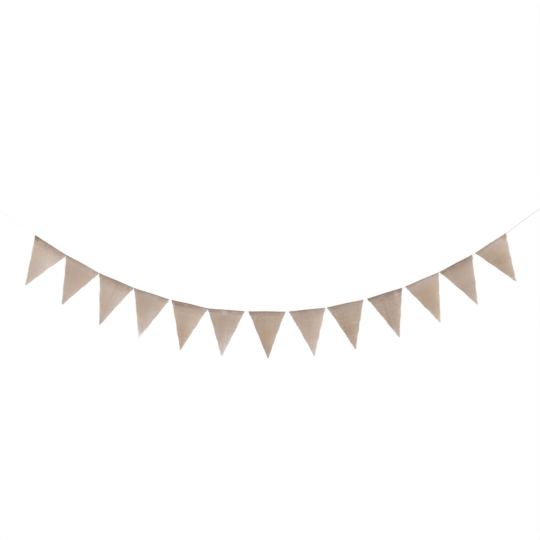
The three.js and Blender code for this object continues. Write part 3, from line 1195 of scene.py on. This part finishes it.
@dataclass(frozen=True)
class LooseFibres:
    """Loose fibres that stand off a pennant's raw sides and its front."""

    count: int = 390
    length: float = 5 * MM
    shortest: float = 0.3  # of the length
    radius: float = 0.08 * MM
    tip_radius: float = 0.25  # of the radius
    points: int = 4
    slant: float = 0.9  # radians up or down
    curl: float = 1.2  # radians over its length
    side_lift: float = 0.3  # how far forward or back those of the sides lean
    face_lift: tuple[float, float] = (0.1, 0.5)  # how far forward those of the front lean
    root_lift: float = 0.3 * MM
    reach_back: float = 0.9  # how near they come to the turned-back end
    reach_down: float = 0.99  # and to the tip
    tone: float = 0.15

    def grow(self, name: str, drape: Drape, rng: np.random.Generator) -> bpy.types.Mesh:
        """Grows one pennant's fibres, half of them at its left side and a quarter on its front.

        Args:
            name: The mesh's name.
            drape: How the pennant's cloth hangs.
            rng: Where their places and bends come from.

        Returns:
            The fibres' mesh, with the attributes of the hessian finish.
        """
        lines = []
        t = np.linspace(0, 1, self.points)
        for i in range(self.count):
            top, tip = drape.back_end * self.reach_back, drape.front_end * self.reach_down
            down = np.array([rng.uniform(top, tip)])
            left, right = drape.sides(down)
            on_left, on_face = i % 2 == 0, i % 4 == 3
            root = left[0] if on_left else right[0]
            if on_face:
                root = rng.uniform(left[0], right[0])
            way = rng.uniform(-self.slant, self.slant) + (math.pi if on_left else 0)
            reach = self.length * rng.uniform(self.shortest, 1)
            bend = way + rng.uniform(-self.curl, self.curl) * t
            lift = rng.uniform(*(self.face_lift if on_face else (-self.side_lift, self.side_lift)))
            across, fall = root + reach * t * np.cos(bend), down[0] + reach * t * np.sin(bend)
            lines.append(drape.lay(across, fall, self.root_lift + reach * t * lift))
        radii = [1 - (1 - self.tip_radius) * t] * self.count
        mesh = tubes(name, lines, radii, self.radius, rounds=0)
        count = len(mesh.vertices)
        mark_yarns(mesh, np.zeros((count, 3)), np.full(count, self.tone), np.full(count, drape.cut.tan))
        return joined(name, [mesh])


@dataclass(frozen=True)
class Pennant:
    """One pennant: its woven cloth, the stitches of its casing and its loose fibres."""

    number: int
    drape: Drape
    weave: Weave = Weave()
    seam: Seam = Seam()
    fibres: LooseFibres = LooseFibres()

    @property
    def node(self) -> str:
        """The name of the solid that the cloth stands for."""
        return f"pennant_{self.number:02d}"

    def build(self, jute: bpy.types.Material, thread: bpy.types.Material) -> bpy.types.Object:
        """Makes the pennant's pieces in place of its solid.

        Args:
            jute: The finish of its yarns.
            thread: The finish of its stitches.

        Returns:
            The cloth.
        """
        drape, rng = self.drape, np.random.default_rng(SEED + self.number)
        woven = self.weave.cloth(self.node, drape, rng)
        cloth = make_piece(f"{self.node}_cloth", woven, jute)
        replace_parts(cloth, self.node)
        stitches = self.seam.sew(f"{self.node}_seam", drape, rng)
        seam = make_piece(f"{self.node}_seam", stitches, thread)
        fray = make_piece(
            f"{self.node}_fray", self.fibres.grow(f"{self.node}_fray", drape, rng), jute
        )
        drape.flat_area
        return cloth


@dataclass(frozen=True)
class TwistedCord:
    """A cotton string laid up from three strands."""

    radius: float = 1.0 * MM
    lay_length: float = 7.5 * MM
    strands: int = 3
    strand_share: float = 0.53  # a strand's radius, as a share of the string's
    step: float = 1.5 * MM

    def sweep(self, name: str, line: np.ndarray) -> bpy.types.Mesh:
        """Twists the strands about a line.

        Args:
            name: The mesh's name.
            line: The string's middle line, as points close together.

        Returns:
            The strands' mesh.
        """
        ways = np.concatenate([[0.0], np.cumsum(np.linalg.norm(np.diff(line, axis=0), axis=1))])
        spots = np.linspace(0, ways[-1], max(3, round(ways[-1] / self.step)))
        middle = np.stack([np.interp(spots, ways, line[:, i]) for i in range(3)], axis=-1)
        side, lift = self._frames(middle)
        strand = self.radius * self.strand_share
        lines = []
        for i in range(self.strands):
            angle = 2 * np.pi * (spots / self.lay_length + i / self.strands)
            spoke = side * np.cos(angle)[:, None] + lift * np.sin(angle)[:, None]
            lines.append(middle + (self.radius - strand) * spoke)
        mesh = tubes(name, lines, [np.ones(len(spots))] * self.strands, strand)
        return joined(name, [mesh])

    @staticmethod
    def _frames(middle: np.ndarray) -> tuple[np.ndarray, np.ndarray]:
        """Carries two directions across a line along it without twist.

        Args:
            middle: The line's points.

        Returns:
            The two directions at each point.
        """
        ahead = np.gradient(middle, axis=0)
        ahead /= np.linalg.norm(ahead, axis=1, keepdims=True)
        side = np.zeros_like(ahead)
        side[0] = np.cross(ahead[0], UP)
        for i in range(len(ahead)):
            carried = side[max(i - 1, 0)]
            carried = carried - ahead[i] * (carried @ ahead[i])
            side[i] = carried / np.linalg.norm(carried)
        return side, np.cross(ahead, side)


@dataclass(frozen=True)
class HangingString:
    """The string that carries the pennants, from inside one knot to inside the other."""

    line: StringLine
    cord: TwistedCord = TwistedCord()
    knot_reach: float = 3.5 * MM

    def build(self, cotton: bpy.types.Material, loops: Sequence[bpy.types.Object]) -> bpy.types.Object:
        """Args:
            cotton: The string's finish.
            loops: The two hanging loops. Not used.

        Returns:
            The string.
        """
        points = self.line.points
        before, after = self.line.outward
        start = points[0] + self.knot_reach * before
        end = points[-1] + self.knot_reach * after
        route = np.vstack([start, points, end])
        twisted = self.cord.sweep("string_twisted", route)
        piece = make_piece("string_twisted", twisted, cotton)
        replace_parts(piece, "string")
        return piece


@dataclass(frozen=True)
class HangLoop:
    """One end of the string, tied back on itself in a loop to hang the bunting by."""

    node: str
    hook: tuple[float, float, float]
    string_end: np.ndarray
    outward: np.ndarray
    cord: TwistedCord = TwistedCord(step=0.8 * MM)
    width: float = 12 * MM
    # Shares of the way from hook to knot, and how wide the loop is there as a share of its width.
    widths: tuple[tuple[float, float], ...] = ((0.72, 0.7), (0.42, 1.0), (0.14, 0.75))
    knot_length: float = 8.4 * MM
    clearance: float = 0.3 * MM
    through: tuple[float, float] = (0.2, -0.3)  # knot lengths that the string enters and leaves by
    knot_turns: float = 2.5
    wrapped: float = 0.62  # of the knot's length
    wrap_points: int = 30
    wrap_radius: float = 2.0 * MM
    tail: float = 14 * MM
    tail_points: int = 12

    def build(self, cotton: bpy.types.Material) -> bpy.types.Object:
        """Makes the loop: out through the knot, round the hook, back and round itself to the tail.

        Args:
            cotton: The string's finish.

        Returns:
            The loop.
        """
        hook = np.array(self.hook)
        knot = self.string_end + self.outward * (self.knot_length / 2 + self.clearance)
        reach = float(np.linalg.norm(knot - hook))
        along = (knot - hook) / reach
        side = np.cross(along, [0.0, 1.0, 0.0])
        tied = np.array([self._to_row(place, hook, along, side) for place in self._route(reach)])
        tail = np.linspace(tied[-1], tied[-1] - UP * self.tail, self.tail_points)
        route = np.vstack([smooth_line(tied), tail[1:]])
        piece = make_piece(f"{self.node}_tied", self.cord.sweep(self.node, route), cotton)
        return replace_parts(piece, self.node)

    @staticmethod
    def _to_row(place: Sequence[float], hook: np.ndarray, along: np.ndarray, side: np.ndarray) -> np.ndarray:
        """Turns a place in the loop's own frame into the row frame."""
        x, y, z = place
        return hook + along * x + np.array([0.0, y, 0.0]) + side * z

    def _route(self, reach: float) -> list[tuple[float, float, float]]:
        """Draws the loop in its own frame, with the hook at the origin and the knot along +x.

        Args:
            reach: How far the knot lies from the hook.

        Returns:
            The points that the loop's line runs through.
        """
        half = self.width / 2
        out = [(reach + share * self.knot_length, 0.0, 0.0) for share in self.through]
        out += [(x * reach, 0.0, z * half) for x, z in self.widths]
        back = [(x * reach, 0.0, -z * half) for x, z in reversed(self.widths)]
        wraps = []
        for t in np.linspace(0, 1, self.wrap_points):
            angle = 2 * math.pi * self.knot_turns * t - math.pi / 2
            x = reach + self.knot_length * self.wrapped * (t - 0.5)
            wraps.append((x, self.wrap_radius * math.cos(angle), self.wrap_radius * math.sin(angle)))
        return [*out, (0.0, 0.0, 0.0), *back, *wraps]


def smooth_line(points: np.ndarray, samples: int = 12) -> np.ndarray:
    """Draws a smooth line through points.

    Args:
        points: The points.
        samples: How many points the line gets from each one to the next.

    Returns:
        The line's points, close together.
    """
    ends = np.vstack([2 * points[0] - points[1], points, 2 * points[-1] - points[-2]])
    t = np.linspace(0, 1, samples, endpoint=False)[:, None]
    steps = []
    for before, start, end, after in zip(ends, ends[1:], ends[2:], ends[3:]):
        leave, arrive = (end - before) / 2, (after - start) / 2
        steps.append(curve_step(start, end, leave, arrive, t))
    return np.vstack([*steps, points[-1:]])


@dataclass(frozen=True)
class Softbox:
    """A wide round light far off."""

    name: str
    place: tuple[float, float, float]
    power: float
    size: float = 8.0

    def build(self, target: Vector) -> None:
        """Makes the light.

        Args:
            target: Where it is aimed.
        """
        data = bpy.data.lights.new(self.name, "AREA")
        data.shape, data.size, data.energy = "DISK", self.size, self.power
        light = bpy.data.objects.new(self.name, data)
        light.location = self.place
        light.visible_camera = False
        light.rotation_euler = (target - light.location).to_track_quat("-Z", "Y").to_euler()
        bpy.context.scene.collection.objects.link(light)


@dataclass(frozen=True)
class Studio:
    """A plain pale floor far below, soft white light and the photograph's camera."""

    picture_width: float = 2.0682
    centre: tuple[float, float] = (1.082, -0.2616)
    lens: float = 100.0
    sensor: float = 36.0
    far_clip: float = 100.0
    surround: Colour = (1, 1, 1)
    softboxes: tuple[Softbox, ...] = (
        Softbox("softbox_front", (14, -10, 11), 3100), Softbox("softbox_back", (-9, 14, 8), 2600),
    )
    floor_height: float = -2.2
    floor_radius: float = 4.4
    floor_sides: int = 96
    floor_colour: Colour = (0.86, 0.86, 0.85)
    floor_roughness: float = 0.9

    def build(self) -> None:
        """Makes the camera, the lights and the floor."""
        self._camera()
        self._surround()
        for softbox in self.softboxes:
            softbox.build(Vector((self.centre[0], 0, self.centre[1])))
        self._floor()
        bpy.context.scene.view_settings.view_transform = "Standard"

    def _camera(self) -> None:
        """A long lens straight on to the bunting."""
        data = bpy.data.cameras.new("camera")
        data.lens, data.sensor_width = self.lens, self.sensor
        data.clip_end = self.far_clip
        camera = bpy.data.objects.new("camera", data)
        distance = self.picture_width * self.lens / self.sensor
        camera.location = (self.centre[0], -distance, self.centre[1])
        camera.rotation_euler = (math.pi / 2, 0, 0)
        bpy.context.scene.collection.objects.link(camera)
        bpy.context.scene.camera = camera

    def _surround(self) -> None:
        """An even white surround."""
        world = bpy.data.worlds.new("surround")
        world.use_nodes = True
        background = world.node_tree.nodes["Background"]
        background.inputs["Color"].default_value = (*self.surround, 1)
        background.inputs["Strength"].default_value = 1.0
        bpy.context.scene.world = world

    def _floor(self) -> None:
        """A round pale floor, below what the picture shows."""
        shape = bmesh.new()
        bmesh.ops.create_circle(shape, cap_ends=True, segments=self.floor_sides, radius=self.floor_radius)
        bmesh.ops.translate(shape, verts=shape.verts, vec=(self.centre[0], 0, self.floor_height))
        mesh = bpy.data.meshes.new("floor")
        shape.to_mesh(mesh)
        shape.free()
        look = {"Base Color": (*self.floor_colour, 1), "Roughness": self.floor_roughness}
        mesh.materials.append(FinishNodes("floor", look).material)
        floor = bpy.data.objects.new("floor", mesh)
        bpy.context.scene.collection.objects.link(floor)


def main() -> None:
    """Builds the studio and the bunting."""
    logging.basicConfig(level=logging.INFO, format="%(name)s %(message)s")
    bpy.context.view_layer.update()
    Studio().build()
    line = StringLine(STRING_ROUTE)
    jute, cotton, thread = HessianFinish().material(), COTTON_STRING.material(), SEAM_THREAD.material()
    ends = line.points[0], line.points[-1]
    loops = [
        HangLoop(f"hang_loop_{name}", HOOKS[name], end, outward).build(cotton)
        for name, end, outward in zip(HOOKS, ends, line.outward)
    ]
    HangingString(line).build(cotton, loops)
    for number, cut in enumerate(PENNANTS, 1):
        Pennant(number, Drape(cut, line)).build(jute, thread)


if __name__ == "__main__":
    main()
